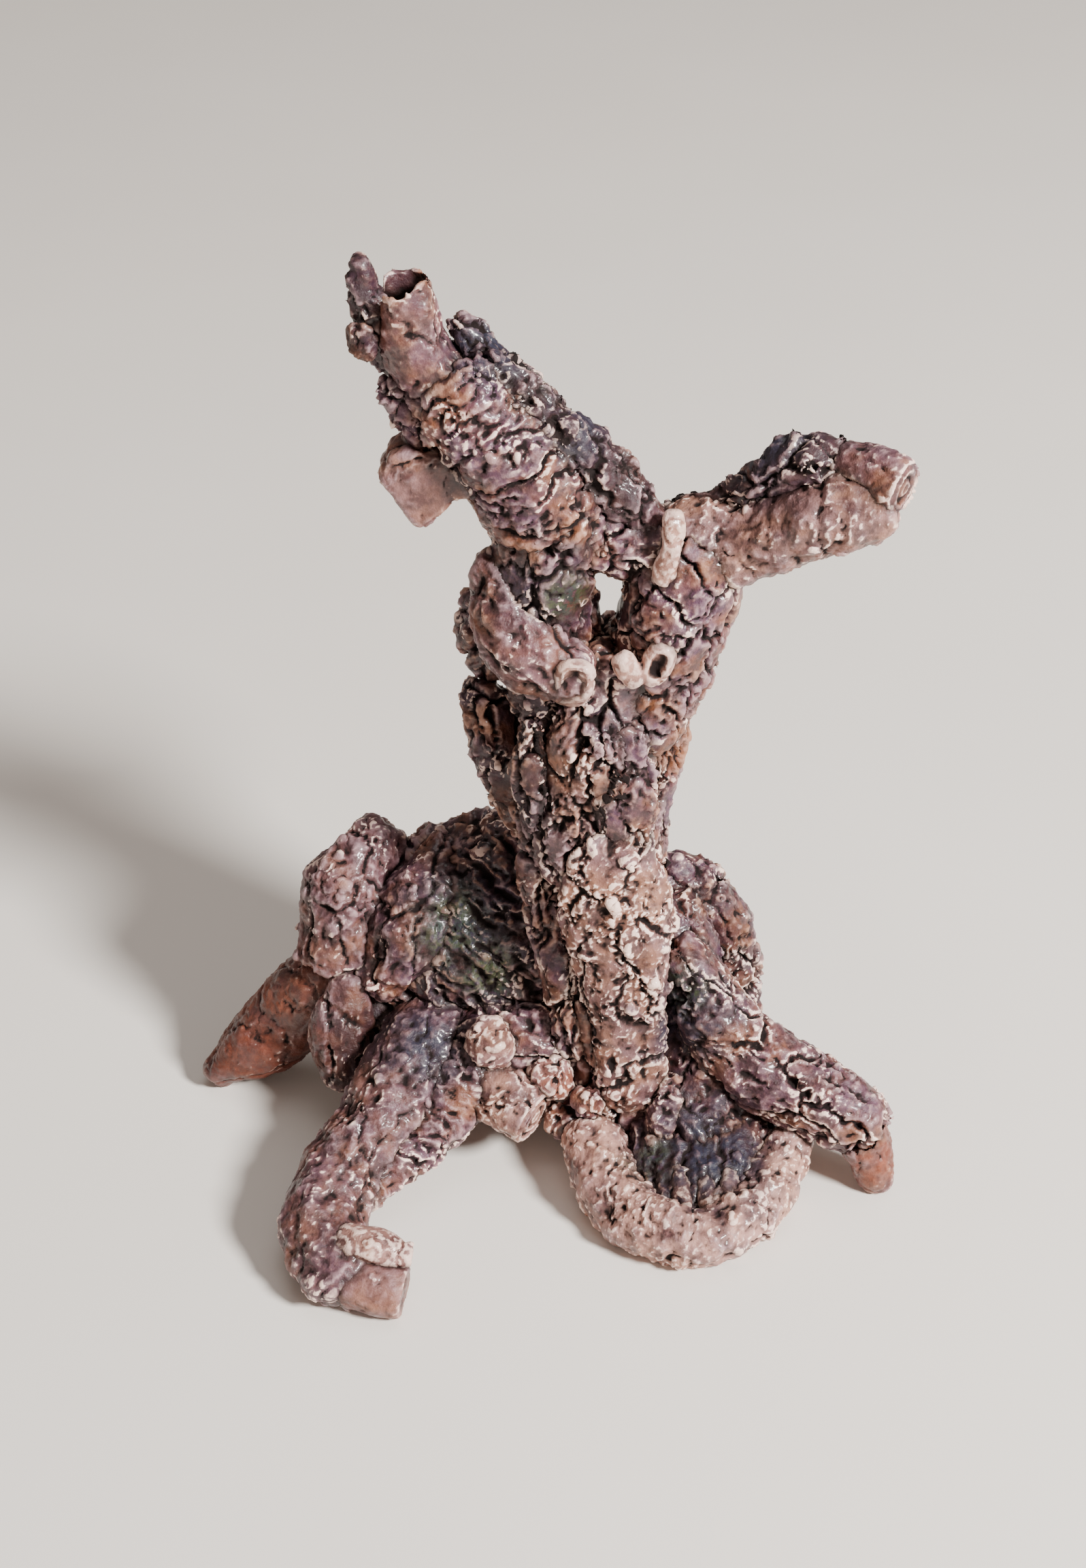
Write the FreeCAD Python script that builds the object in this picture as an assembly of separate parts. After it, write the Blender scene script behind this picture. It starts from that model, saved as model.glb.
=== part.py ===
import FreeCAD, Part
import math
import os

# A small gnarled tree, hand-built from rolled and pressed clay over a wire armature.
#
# Millimetres.  The table is z = 0, the tree grows along +Z and its front faces -Y.
# Every coil, strip and pellet is its own solid.  A piece that is pressed onto others
# is cut back by them, so that the clay meets face to face.

Vec = FreeCAD.Vector

# ---- driving dimensions ---------------------------------------------------------------
TRUNK = 8.0            # radius of the rolled trunk at full thickness
LIMB = 6.0             # radius of the coils that make the stems and limbs
ROOT = 5.0             # radius of the coils that make the roots
TWIG = 3.0             # radius of the thin coils: tips, toe loop, crests
PELLET = 2.6           # radius of the balls pressed on as knots
BARK = 4.2             # half width of a strip of bark
BARK_THIN = 0.45       # thickness of a strip over its width
WEB_THIN = 0.52        # thickness of the webs between the roots over their width
WIRE = 0.8             # radius of the armature wire
WIRE_BEND = 6.0        # radius the wire is bent to
TAPE = 3.0             # half width of the tape wrapped round both wires
SOLE = 0.0             # height of the table, where every root is pressed flat

# ---- how the clay is shaped -----------------------------------------------------------
RING_POINTS = 10       # points in the outline of one section
UNEVEN = 0.045         # how far a hand-rolled section strays from round
SECTION_TURN = 1.7     # how much the unevenness turns from one section to the next
DOME = ((0.5, 0.86), (0.85, 0.5))   # a rounded end: (reach, fullness) in radii
SMALLEST_CRUMB = 2.0   # cubic millimetres; smaller offcuts are thrown away
FRONT = Vec(0, -1, 0)
UP = Vec(0, 0, 1)
FOOTPRINT = Vec(-8.1, -7, 0)   # middle of the ground the roots cover, measured from the trunk

pieces = {}            # node name -> shape, in the order of building


# ---- tools ----------------------------------------------------------------------------
def section(centre, along, face, wide, thin, turn):
    """Closed outline of a coil, square to its run; thin is measured along face."""
    along = Vec(along).normalize()
    across = along.cross(face).normalize()
    deep = across.cross(along)
    ring = []
    for k in range(RING_POINTS):
        a = 2 * math.pi * k / RING_POINTS
        stray = 1 + UNEVEN * (math.sin(2 * a + turn) + 0.7 * math.sin(3 * a - 1.3 * turn))
        ring.append(centre + across * (wide * stray * math.cos(a)) + deep * (thin * stray * math.sin(a)))
    outline = Part.BSplineCurve()
    outline.interpolate(ring, PeriodicFlag=True)
    return Part.Wire([outline.toShape()])


def rolled(radius, stations, flat=1.0, face=FRONT, start="dome", end="dome"):
    """A coil of clay through stations (x, y, z, fullness); flat presses it into a strip."""
    centres = [Vec(*s[:3]) for s in stations]
    sizes = [radius * s[3] for s in stations]
    last = len(centres) - 1
    runs = [centres[min(i + 1, last)] - centres[max(i - 1, 0)] for i in range(last + 1)]
    outlines = []
    if start == "dome":
        back = Vec(runs[0]).normalize() * -sizes[0]
        for reach, full in reversed(DOME):
            size = sizes[0] * full
            outlines.append(section(centres[0] + back * reach, runs[0], face, size, size * flat, 0))
    for i, (centre, run, size) in enumerate(zip(centres, runs, sizes)):
        outlines.append(section(centre, run, face, size, size * flat, i * SECTION_TURN))
    if end == "dome":
        ahead = Vec(runs[last]).normalize() * sizes[last]
        for reach, full in DOME:
            size = sizes[last] * full
            turn = last * SECTION_TURN
            outlines.append(section(centres[last] + ahead * reach, runs[last], face, size, size * flat, turn))
    return Part.makeLoft(outlines, True, False, False, 3)


def pellet(x, y, z, radius, stretch=0.3, along=UP, flat=0.9):
    """A small ball of clay, a little longer one way."""
    half = Vec(along).normalize() * (radius * stretch)
    ends = [Vec(x, y, z) - half, Vec(x, y, z) + half]
    face = FRONT if abs(half.dot(FRONT)) < 0.8 * half.Length else UP
    return rolled(radius, [(p.x, p.y, p.z, 1.0) for p in ends], flat, face)


def prism(outline, front, thick):
    """A block with a sharp outline (x, z), standing thick millimetres behind its front."""
    corners = [Vec(x, front, z) for x, z in outline]
    return Part.Face(Part.makePolygon(corners + corners[:1])).extrude(Vec(0, thick, 0))


def slab(outline, front, thick, edge):
    """A pressed slab: a prism with softened edges."""
    blank = prism(outline, front, thick)
    return blank.makeFillet(edge, blank.Edges)


def bent_wire(radius, bend, points):
    """Round wire: straight runs joined by tangent arcs."""
    points = [Vec(*p) for p in points]
    edges = []
    here = points[0]
    for before, corner, after in zip(points, points[1:], points[2:]):
        inward = (before - corner).normalize()
        outward = (after - corner).normalize()
        half = inward.getAngle(outward) / 2
        reach = bend / math.tan(half)
        start, end = corner + inward * reach, corner + outward * reach
        middle = (inward + outward).normalize()
        top = corner + middle * (bend / math.sin(half) - bend)
        edges += [Part.LineSegment(here, start).toShape(), Part.Arc(start, top, end).toShape()]
        here = end
    edges.append(Part.LineSegment(here, points[-1]).toShape())
    profile = Part.Wire([Part.makeCircle(radius, points[0], points[1] - points[0])])
    return Part.Wire(edges).makePipeShell([profile], True, True)


def pressed_flat(shape):
    """Press a root down on the table: nothing of it is left below the table's top."""
    span, depth = 400, 30
    table = Part.makeBox(span, span, depth, Vec(-span / 2, -span / 2, SOLE - depth))
    return shape.cut(table)


def add(name, shape, against=(), whole=True):
    """Cut the piece back by the pieces it is pressed against, and keep it under its name."""
    if against:
        shape = shape.cut([pieces[other] for other in against])
    solids = sorted(shape.Solids, key=lambda s: s.Volume, reverse=True)
    kept = solids[:1] if whole else [s for s in solids if s.Volume > SMALLEST_CRUMB]
    pieces[name] = kept[0] if len(kept) == 1 else Part.makeCompound(kept)


# ---- inside: the armature -------------------------------------------------------------
def armature():
    """Two wires run up the trunk side by side, taped together, and out along the limbs."""
    add("armature_left_wire", bent_wire(WIRE, WIRE_BEND, [
        (0, -8.5, 6), (-0.5, -5, 24), (-2.5, -1, 48), (-6.5, 0, 68), (-6.5, 0, 83), (-15, 0, 99)]))
    add("armature_right_wire", bent_wire(WIRE, WIRE_BEND, [
        (3, -8.5, 6), (2.5, -5, 24), (0.5, -1, 48), (7.5, 0, 68), (10.5, -0.5, 80), (19, -1.5, 83.5),
        (26, -3, 87.5)]))
    tape = rolled(TAPE, [(1.2, -5.6, 21, 0.9), (0.5, -4, 30, 1), (-0.5, -2.5, 39, 0.9)],
                  flat=0.62, start="cut", end="cut")
    add("armature_tape", tape, ["armature_left_wire", "armature_right_wire"])


INSIDE = ["armature_left_wire", "armature_right_wire", "armature_tape"]
WIRES = INSIDE[:2]


# ---- trunk ----------------------------------------------------------------------------
def trunk():
    """The thick coil that carries everything, leaning back as it rises."""
    add("trunk_core", rolled(TRUNK, [
        (1.5, -9, 7, 0.72), (1.5, -8, 11, 0.74), (1.3, -6, 18, 0.83), (0.5, -4, 27, 0.9), (-0.5, -2, 35, 0.97),
        (-1.8, -1, 43, 1.03), (-2.2, 0, 50, 1.05), (-1.6, 0, 57.5, 1.08), (0, 0, 62.7, 0.9)]), INSIDE)


def trunk_bark():
    """Strips and flakes of clay laid over the trunk, with open cracks between them."""
    core = ["trunk_core"]
    add("trunk_front_plate", rolled(BARK, [
        (0.7, -8, 42.5, 1.3), (0.9, -9.4, 37, 1.52), (2, -10.9, 29, 1.34), (2.8, -12.1, 19.5, 1.12),
        (2.8, -13, 11, 0.95)], BARK_THIN), core)
    add("trunk_left_strip", rolled(BARK, [
        (-8.2, -4.2, 41.5, 0.5), (-7.2, -5.4, 34, 0.62), (-5.2, -8, 25, 0.62), (-3.8, -10.4, 16, 0.5)],
        0.8), core + ["trunk_front_plate"])
    add("trunk_upper_plate", rolled(BARK, [
        (1, -7, 58, 0.85), (1.5, -7.3, 51.5, 1.0), (2, -7.6, 46.5, 0.85)], BARK_THIN),
        core + ["trunk_front_plate"])
    add("trunk_left_plate", rolled(BARK, [
        (-7.3, -5, 58, 0.7), (-7.2, -5.5, 51.5, 0.8), (-6.6, -6, 46, 0.6)], 0.6),
        core + ["trunk_upper_plate", "trunk_left_strip"])
    add("trunk_back_plate", rolled(BARK, [
        (0, 8, 58, 0.8), (-2, 7.5, 48, 1.1), (0, 5.5, 37, 1.05), (1, 3, 27, 0.9)], BARK_THIN,
        Vec(0, 1, 0)), core)


def trunk_shelves():
    """Two curled shelves of bark that stand out from the trunk's left side."""
    add("upper_shelf", rolled(TWIG, [
        (-10.8, 2.5, 74.5, 0.7), (-13, 3, 70, 0.9), (-14.8, 3, 66, 0.75), (-13.1, 3, 62.5, 0.65)],
        0.9), ["trunk_core", "left_stem"])
    add("lower_shelf", rolled(TWIG, [
        (-14.2, 2, 59, 0.85), (-12.1, 2, 53.5, 1.25), (-10.9, 2, 47.5, 1.2), (-9.2, 1, 41.5, 0.8)],
        1.1), ["trunk_core", "trunk_left_plate", "upper_shelf"])


# ---- fork -----------------------------------------------------------------------------
def fork():
    """The trunk splits round a small window, and a bridge closes the window above."""
    add("left_stem", rolled(LIMB, [
        (-4.3, 0, 59.5, 0.95), (-6.1, 0, 65.5, 0.95), (-6.9, 0, 72.5, 0.95), (-6.7, 0, 79, 0.96),
        (-6.2, 0, 83, 0.98)]), ["trunk_core"] + WIRES)
    add("right_stem", rolled(LIMB, [
        (2.8, 0, 59.5, 1.05), (6.3, 0, 66.5, 1.0), (8, 0, 72.7, 1.08), (8.9, 0, 78.5, 1.0)]),
        ["trunk_core", "left_stem"] + WIRES)
    add("trunk_right_plate", rolled(TWIG, [
        (7.2, 1, 60.5, 1.0), (6.5, 0, 54.5, 0.95), (5.3, 0, 47, 0.9), (5, -1, 41.5, 0.75)], 1.0),
        ["trunk_core", "right_stem", "trunk_upper_plate", "trunk_front_plate"])


def fork_details():
    """A thick collar hangs over the left stem; a curl and pellets sit on the right stem."""
    add("stem_collar", rolled(LIMB, [
        (-11, -1.5, 77.5, 0.55), (-10, -3.4, 73, 0.76), (-7.6, -5, 69.3, 0.76), (-4.6, -6, 68.4, 0.56)],
        0.85), ["trunk_core", "left_stem", "upper_shelf"])
    lean = Vec(0.2, -0.3, 1)
    cup = pellet(-3.6, -8.2, 68, 2.2, 0.7, lean, 0.6).cut(pellet(-3.5, -9.7, 68.6, 1.3, 0.7, lean, 0.7))
    add("collar_end", cup, ["trunk_core", "left_stem", "stem_collar"])
    tilt = Vec(0.4, 0, 1)
    fork_pellets = pellet(2.4, -7, 69, 1.3, 0.9, Vec(-0.5, 0, 1)).fuse(
        pellet(5.6, -6.4, 69.5, 1.7, 0.8, tilt).cut(pellet(5.7, -7.9, 69.8, 0.9, 1.0, tilt)))
    add("fork_pellets", fork_pellets, ["trunk_core", "right_stem", "left_stem"], whole=False)
    add("fork_bridge", rolled(LIMB, [
        (-4, 0.5, 83.5, 0.75), (0.5, 0.5, 81.6, 0.72), (5, 0.5, 80, 0.75)]),
        ["left_limb", "left_stem", "right_stem", "right_limb"])
    add("fork_curl", rolled(TWIG, [
        (7.2, -3.6, 86, 0.38), (7, -4.9, 83, 0.36), (6.2, -5.3, 80, 0.42)]),
        ["right_limb", "right_stem", "fork_bridge"])


# ---- limbs ----------------------------------------------------------------------------
def left_limb():
    """The long limb that leans up and to the left and ends in a split, hollow twig."""
    add("left_limb", rolled(LIMB, [
        (-5.9, 0, 84, 1.0), (-8.6, 0, 90.5, 1.1), (-13, 0, 97, 1.03), (-16.8, 0, 102, 0.8)],
        end="cut"), ["left_stem"] + WIRES)
    hollow = rolled(TWIG, [(-19.9, -1.3, 105.5, 0.5), (-20.3, -1.2, 109, 0.68), (-20.6, -1.2, 116, 0.8)])
    broken_off = prism([(-27, 103.6), (-22.4, 106), (-21.9, 108.2), (-19.4, 109.6), (-18.6, 117), (-27, 117)],
                       -7, 6.2)
    twig = rolled(TWIG, [
        (-17.9, -0.5, 101.5, 1.2), (-19.2, -1, 104.5, 1.12), (-19.9, -1, 108, 1.03), (-20.3, -0.8, 112.3, 0.86)],
        end="cut").cut(hollow).cut(broken_off)
    add("limb_tip", twig, ["left_limb"])
    add("tip_blade", rolled(TWIG, [
        (-22.4, 0, 103, 0.6), (-23.7, -0.6, 107.5, 0.64), (-24.4, -0.6, 111, 0.6), (-24.7, -0.6, 113.3, 0.5)],
        0.9), ["left_limb", "limb_tip"])
    add("tip_knuckle", pellet(-24.6, -1.5, 106, 1.8, 0.35), ["left_limb", "limb_tip", "tip_blade"])
    add("limb_left_bark", rolled(TWIG, [
        (-22, -0.5, 100.5, 0.5), (-20, -0.5, 97.5, 0.75), (-18.4, -0.5, 94, 0.75)]),
        ["left_limb", "limb_tip"])
    paddle = slab([(-23.9, 90.7), (-22.7, 93.2), (-20.7, 94), (-13, 93), (-11, 88.5), (-15.4, 88.3),
                   (-19.2, 84.6), (-20.5, 85)], -3.5, 5, 0.5)
    add("limb_paddle", paddle, ["left_limb", "left_stem", "limb_left_bark"])


def left_limb_crest():
    """A ragged strip of bark along the limb's upper edge; its far end stands free."""
    add("limb_crest", rolled(TWIG, [
        (4.6, 0, 83, 0.88), (1.3, -0.3, 87.4, 1.0), (-2.4, -0.6, 92, 1.02), (-6.1, -0.8, 96.1, 0.97),
        (-9.9, -0.8, 99.9, 0.9), (-12.9, 0.2, 103.4, 0.72), (-14.7, 1, 106.2, 0.52)]),
        ["left_limb", "limb_tip", "fork_bridge", "right_stem", "right_limb"])


def right_limb():
    """The short limb to the right: smooth below, a bumpy crest above, cut square at its end."""
    add("right_limb", rolled(LIMB, [
        (9.6, 0, 81, 0.76), (15.4, -1, 81.7, 0.7), (20.4, -2, 84.5, 0.76), (25.6, -3, 87.3, 0.74),
        (30.2, -3.4, 88.6, 0.56)], end="cut"), ["right_stem"] + WIRES)
    add("right_limb_end", rolled(TWIG, [
        (25.8, -1.4, 91, 0.9), (28.8, -3.6, 91, 1.0), (31.1, -5.1, 90.6, 0.97)], end="cut"),
        ["right_limb"] + WIRES)
    add("right_limb_crest", rolled(TWIG, [
        (8, 1.5, 83.2, 0.65), (13, 1, 84.8, 0.75), (17.5, -0.2, 88.7, 0.9), (21.4, -0.6, 91.1, 1.02),
        (26, -0.5, 89.9, 0.88), (29, -0.4, 89, 0.65)]), ["right_limb", "right_limb_end", "right_stem"])


# ---- root crown -----------------------------------------------------------------------
def webs():
    """Sheets of clay dragged down from the trunk to tie the roots together."""
    add("left_web", pressed_flat(rolled(ROOT, [
        (-5.5, 1, 28.5, 1.75), (-12, 2.5, 26.5, 2.2), (-19, 3, 23, 2.3), (-25, 2, 17.5, 2.0),
        (-29, 0.5, 13, 1.5)],
        WEB_THIN, Vec(0, -0.75, 0.65))), ["trunk_core", "trunk_left_strip", "burl_inner", "burl_outer"])
    add("right_web", pressed_flat(rolled(ROOT, [
        (8, 0, 27, 0.8), (9.8, -3, 19, 1.0), (10.8, -7, 11, 1.2), (11.5, -12.5, 6, 1.25)], 0.85)),
        ["trunk_core", "trunk_front_plate", "trunk_right_plate"])
    add("front_web", pressed_flat(rolled(ROOT, [
        (-5.5, -6, 15, 1.15), (-11.5, -6, 14.5, 1.2), (-17, -8.5, 12, 1.1), (-20, -13.5, 9, 0.9),
        (-24.5, -18.5, 6, 0.75), (-28.5, -23, 4.5, 0.5)], 0.8, UP)),
        ["trunk_core", "trunk_left_strip", "left_web"])


def burls():
    """Two fat coils folded over beside the trunk; the outer one ends in a cut foot."""
    add("burl_inner", rolled(ROOT, [
        (-20, 6, 30.5, 0.75), (-21.7, 2.5, 28, 0.95), (-24.7, -0.5, 24, 0.98), (-27, -1.5, 20.5, 0.72)]))
    add("burl_outer", rolled(ROOT, [
        (-28.8, 8, 32, 0.75), (-31, 5.5, 29.5, 0.98), (-32.8, 2.5, 24.5, 1.03), (-35, 0.5, 19.5, 0.76)],
        end="cut"), ["burl_inner"])


def left_roots():
    """The root that points left, with a flap of bark folded over where it starts."""
    add("left_root", pressed_flat(rolled(ROOT, [
        (-30, 1.5, 15.5, 1.0), (-35.5, 1.5, 14, 1.08), (-40.7, 1.2, 9, 0.98), (-45.6, 0.4, 4.6, 0.83),
        (-48.8, -0.6, 2.3, 0.5)])), ["left_web", "burl_outer", "burl_inner"])
    add("left_root_flap", rolled(TWIG, [
        (-31.5, -3.5, 18, 0.95), (-32.8, -5.5, 13, 1.25), (-32.3, -7, 8, 1.0)], 0.7),
        ["left_web", "left_root", "burl_outer", "burl_inner"])


def front_left_roots():
    """The hooked root in front: it swings out, turns back in and ends in a smooth wedge."""
    add("front_left_root", pressed_flat(rolled(ROOT, [
        (-21.5, -6.5, 13.5, 1.05), (-25, -12.2, 10.5, 1.04), (-29.2, -18, 7.2, 1.0), (-32.4, -24.4, 5, 0.98),
        (-33.2, -30.5, 4.2, 0.93), (-31.3, -35, 3.6, 0.82)], 1.0, UP)), ["left_web", "front_web"])
    add("front_left_tip", pressed_flat(rolled(TWIG, [
        (-31, -35.8, 3, 1.05), (-27, -37.3, 3, 1.1), (-23.3, -38, 2.6, 0.95)], 0.95, UP, end="cut")),
        ["front_left_root"])
    add("tip_flap", rolled(TWIG, [
        (-30, -34, 7, 0.7), (-27, -34.6, 7, 0.75), (-24, -35, 6, 0.6)], 0.7, UP),
        ["front_left_root", "front_left_tip"])
    add("front_spur", rolled(TWIG, [
        (-26, -14, 7.5, 1.0), (-22.5, -17, 7, 0.85), (-19, -18.3, 6.5, 0.5)]),
        ["front_web", "front_left_root"])


def middle_roots():
    """A stub that stops short of the table, and round knots pressed in beside it."""
    add("middle_root", rolled(TWIG, [
        (-18.5, -9.5, 11, 1.2), (-13.5, -12.3, 9.9, 1.38), (-8.6, -15.4, 8.5, 1.3)], end="cut"),
        ["front_web", "trunk_core", "trunk_left_strip", "left_web"])
    knots = pellet(-14, -11, 16.2, PELLET).fuse(pellet(-6.6, -12.5, 12.4, PELLET))
    add("root_knots", knots, ["front_web", "left_web", "middle_root", "trunk_core", "trunk_left_strip"],
        whole=False)
    pads = [pellet(-2.2, -14.2, 9.6, 2.0), pellet(-4.5, -13.4, 6.4, 2.2, 0.5, Vec(1, 0, 0)),
            pellet(7.2, -14.8, 9.8, 1.7, 1.5, Vec(0.25, 0.8, 1))]
    pads = pads[0].fuse(pads[1:])
    add("foot_pads", pads, ["trunk_core", "trunk_front_plate", "trunk_left_strip", "root_knots",
                            "middle_root", "right_web"], whole=False)


def toe():
    """A thin coil laid on the table in a U, with a sheet of clay pressed inside it."""
    add("toe_loop", pressed_flat(rolled(TWIG, [
        (-1.6, -15.5, 5, 1.2), (0.6, -22.5, 3.6, 1.22), (4.6, -28, 3.2, 1.14), (11, -30.3, 3.2, 1.12),
        (16.6, -26.6, 3.2, 1.05), (20.4, -20.5, 4, 0.95), (22.5, -16.5, 5, 0.8)], 1.0, UP)),
        ["trunk_core", "trunk_front_plate", "right_web", "foot_pads"])
    add("toe_web", pressed_flat(rolled(ROOT, [
        (12, -13.5, 4.8, 1.75), (12, -19.5, 3.4, 1.75), (11, -26, 2.4, 1.1)], 0.42, UP)),
        ["toe_loop", "right_web", "trunk_core", "trunk_front_plate", "foot_pads"])
    ribs = [rolled(TWIG, [(x, -17.5, 5.6, 0.3), (x + lean, -22, 5.2, 0.4), (x + 2 * lean, -26.5, 4.6, 0.35)],
                   1.0, UP) for x, lean in ((8.2, 0.5), (11.6, 0.3), (15, -0.2))]
    add("toe_ribs", ribs[0].fuse(ribs[1:]), ["toe_web", "toe_loop", "right_web"], whole=False)


def right_roots():
    """The root that points right and turns down at its end, and the arched one behind it."""
    add("back_right_root", pressed_flat(rolled(TWIG, [
        (5.5, 4.5, 29.5, 1.15), (10, 4.8, 28.5, 1.22), (13.6, 5.2, 24.5, 1.2), (15.6, 6, 18, 1.18),
        (16.4, 6.6, 10, 1.1), (16.6, 6.4, 3, 1.1)])), ["trunk_core", "right_web", "trunk_back_plate"])
    add("right_root", pressed_flat(rolled(ROOT, [
        (9.4, -5.4, 25, 0.72), (13.6, -8.3, 18.5, 0.92), (19, -11.5, 13.2, 1.04), (25.6, -14.2, 10.6, 1.02),
        (30, -16.2, 9, 0.88)], 1.0, UP)),
        ["trunk_core", "trunk_front_plate", "right_web", "toe_loop", "toe_web", "back_right_root"])
    add("right_root_tip", pressed_flat(rolled(TWIG, [
        (30.6, -17.2, 8.6, 1.05), (32, -18.2, 5.4, 0.9), (33, -18.8, 2, 0.75)])), ["right_root"])


def back_left_root():
    """The root behind the left web, which keeps the tree from rocking backwards."""
    add("back_left_root", pressed_flat(rolled(ROOT, [
        (-2, 2.5, 21, 1.1), (-8, 8.5, 16, 1.0), (-13.5, 15, 9.5, 0.9), (-18, 20.5, 4, 0.82),
        (-20.5, 24, 1.8, 0.55)], 1.0, UP)),
        ["trunk_core", "trunk_back_plate", "left_web", "burl_inner", "back_right_root"])


# ---- build and export -----------------------------------------------------------------
for build in (armature, trunk, trunk_bark, fork, trunk_shelves, left_limb, right_limb, fork_details,
              left_limb_crest, burls, webs, left_roots, front_left_roots, middle_roots, toe,
              right_roots, back_left_root):
    build()

os.makedirs("parts", exist_ok=True)
for node, shape in pieces.items():
    shape.translate(-FOOTPRINT)
    shape.exportStep("parts/" + node + ".step")
    print(node, round(shape.Volume, 1), "valid" if shape.isValid() else "INVALID", len(shape.Solids))
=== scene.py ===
import math

import bpy
import numpy as np
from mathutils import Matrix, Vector
from mathutils.bvhtree import BVHTree


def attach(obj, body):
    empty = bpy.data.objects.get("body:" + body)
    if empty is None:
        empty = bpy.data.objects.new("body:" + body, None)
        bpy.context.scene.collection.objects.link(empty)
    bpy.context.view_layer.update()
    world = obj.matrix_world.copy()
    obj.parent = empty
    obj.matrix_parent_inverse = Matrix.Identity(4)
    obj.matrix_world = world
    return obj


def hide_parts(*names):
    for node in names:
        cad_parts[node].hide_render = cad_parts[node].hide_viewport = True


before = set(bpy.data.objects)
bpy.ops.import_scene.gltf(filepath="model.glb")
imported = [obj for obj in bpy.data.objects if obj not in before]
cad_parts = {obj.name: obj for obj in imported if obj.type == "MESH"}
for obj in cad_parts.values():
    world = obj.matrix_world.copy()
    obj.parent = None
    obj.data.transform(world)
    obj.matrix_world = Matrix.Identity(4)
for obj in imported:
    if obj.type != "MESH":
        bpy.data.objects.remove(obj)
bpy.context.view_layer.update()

scene = bpy.context.scene


# ---- The view --------------------------------------------------------------------------
# The tree is looked down on from the front, from about twice its own height, and it stands
# a little right of the middle of the picture.
AIM = Vector((0.0081, 0.007, 0.045))
LOOK_DOWN = math.radians(38)
STAND_BACK = 0.284
LENS = 55.445         # millimetres, for a picture 36 millimetres tall

camera_data = bpy.data.cameras.new("camera")
camera_data.sensor_width = 36
camera_data.lens = LENS
camera_data.shift_x = -0.040
camera_data.shift_y = 0.012
camera_data.clip_start = 0.01
camera = bpy.data.objects.new("camera", camera_data)
camera.location = AIM + Vector((0, -math.cos(LOOK_DOWN), math.sin(LOOK_DOWN))) * STAND_BACK
camera.rotation_euler = (math.radians(90) - LOOK_DOWN, 0, 0)
scene.collection.objects.link(camera)
scene.camera = camera


# ---- The light -------------------------------------------------------------------------
# One soft studio lamp high on the right and in front, two weak broad ones from the left
# and from above, and a warm pale room all round.
def lamp(name, place, size, watts, colour=(1, 1, 1)):
    data = bpy.data.lights.new(name, "AREA")
    data.shape = "DISK"
    data.size = size
    data.energy = watts
    data.color = colour
    lamp_object = bpy.data.objects.new(name, data)
    lamp_object.location = place
    lamp_object.rotation_euler = (AIM - Vector(place)).to_track_quat("-Z", "Y").to_euler()
    scene.collection.objects.link(lamp_object)


lamp("key_lamp", (0.52, -0.36, 0.50), 0.16, 18, (1.0, 0.97, 0.94))
lamp("left_fill", (-0.55, -0.35, 0.35), 0.5, 0.45, (1.0, 0.86, 0.80))
lamp("top_fill", (0.05, 0.15, 0.8), 0.6, 1.6)

world = bpy.data.worlds.new("room")
scene.world = world
world.use_nodes = True
world.node_tree.nodes["Background"].inputs["Color"].default_value = (0.96, 0.80, 0.70, 1)
world.node_tree.nodes["Background"].inputs["Strength"].default_value = 0.25


# ---- The armature inside ---------------------------------------------------------------
# Two soft aluminium wires, wrapped together with a turn of paper tape, are buried in the
# clay. Their solids come straight from the design and only take a finish here.
PER_METRE = 1000      # patterns and reliefs are sized in millimetres


class Value:
    """An output of a node; the operators on it add Math nodes to the same tree."""

    def __init__(self, tree, socket):
        self.tree = tree
        self.socket = socket

    def math(self, operation, *others):
        inputs = dict(enumerate((self,) + others))
        return make(self.tree, "ShaderNodeMath", {"operation": operation}, inputs)

    def __add__(self, other):
        return self.math("ADD", other)

    def __sub__(self, other):
        return self.math("SUBTRACT", other)

    def __mul__(self, other):
        return self.math("MULTIPLY", other)

    def __truediv__(self, other):
        return self.math("DIVIDE", other)

    def __rsub__(self, other):
        return make(self.tree, "ShaderNodeMath", {"operation": "SUBTRACT"}, {0: other, 1: self})

    def __rtruediv__(self, other):
        return make(self.tree, "ShaderNodeMath", {"operation": "DIVIDE"}, {0: other, 1: self})

    __radd__ = __add__
    __rmul__ = __mul__

    def vector(self, operation, other, key=1):
        inputs = {0: self, key: other}
        return make(self.tree, "ShaderNodeVectorMath", {"operation": operation}, inputs)


def make(tree, kind, settings=(), inputs=(), output=0):
    """Adds one node: its settings first, then the values or links of its sockets."""
    node = tree.nodes.new(kind)
    for name, value in dict(settings).items():
        setattr(node, name, value)
    for key, value in dict(inputs).items():
        if isinstance(value, Value):
            tree.links.new(value.socket, node.inputs[key])
        else:
            node.inputs[key].default_value = value
    return Value(tree, node.outputs[output])


def ramp(value, low, high):
    """0 below low, 1 above high, and smooth between; low may be the larger."""
    inputs = {"Value": value, "From Min": low, "From Max": high}
    settings = {"interpolation_type": "SMOOTHSTEP"}
    return make(value.tree, "ShaderNodeMapRange", settings, inputs)


def paint(red, green, blue):
    """A colour as a paint chart gives it, 0 to 255, turned into the renderer's values."""
    return tuple((c / 255) ** 2.2 for c in (red, green, blue)) + (1,)


def mix(amount, first, second):
    """One colour laid over another by an amount from 0 to 1."""
    tree = amount.tree
    inputs = {0: amount, 6: first, 7: second}
    return make(tree, "ShaderNodeMix", {"data_type": "RGBA"}, inputs, 2)


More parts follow.
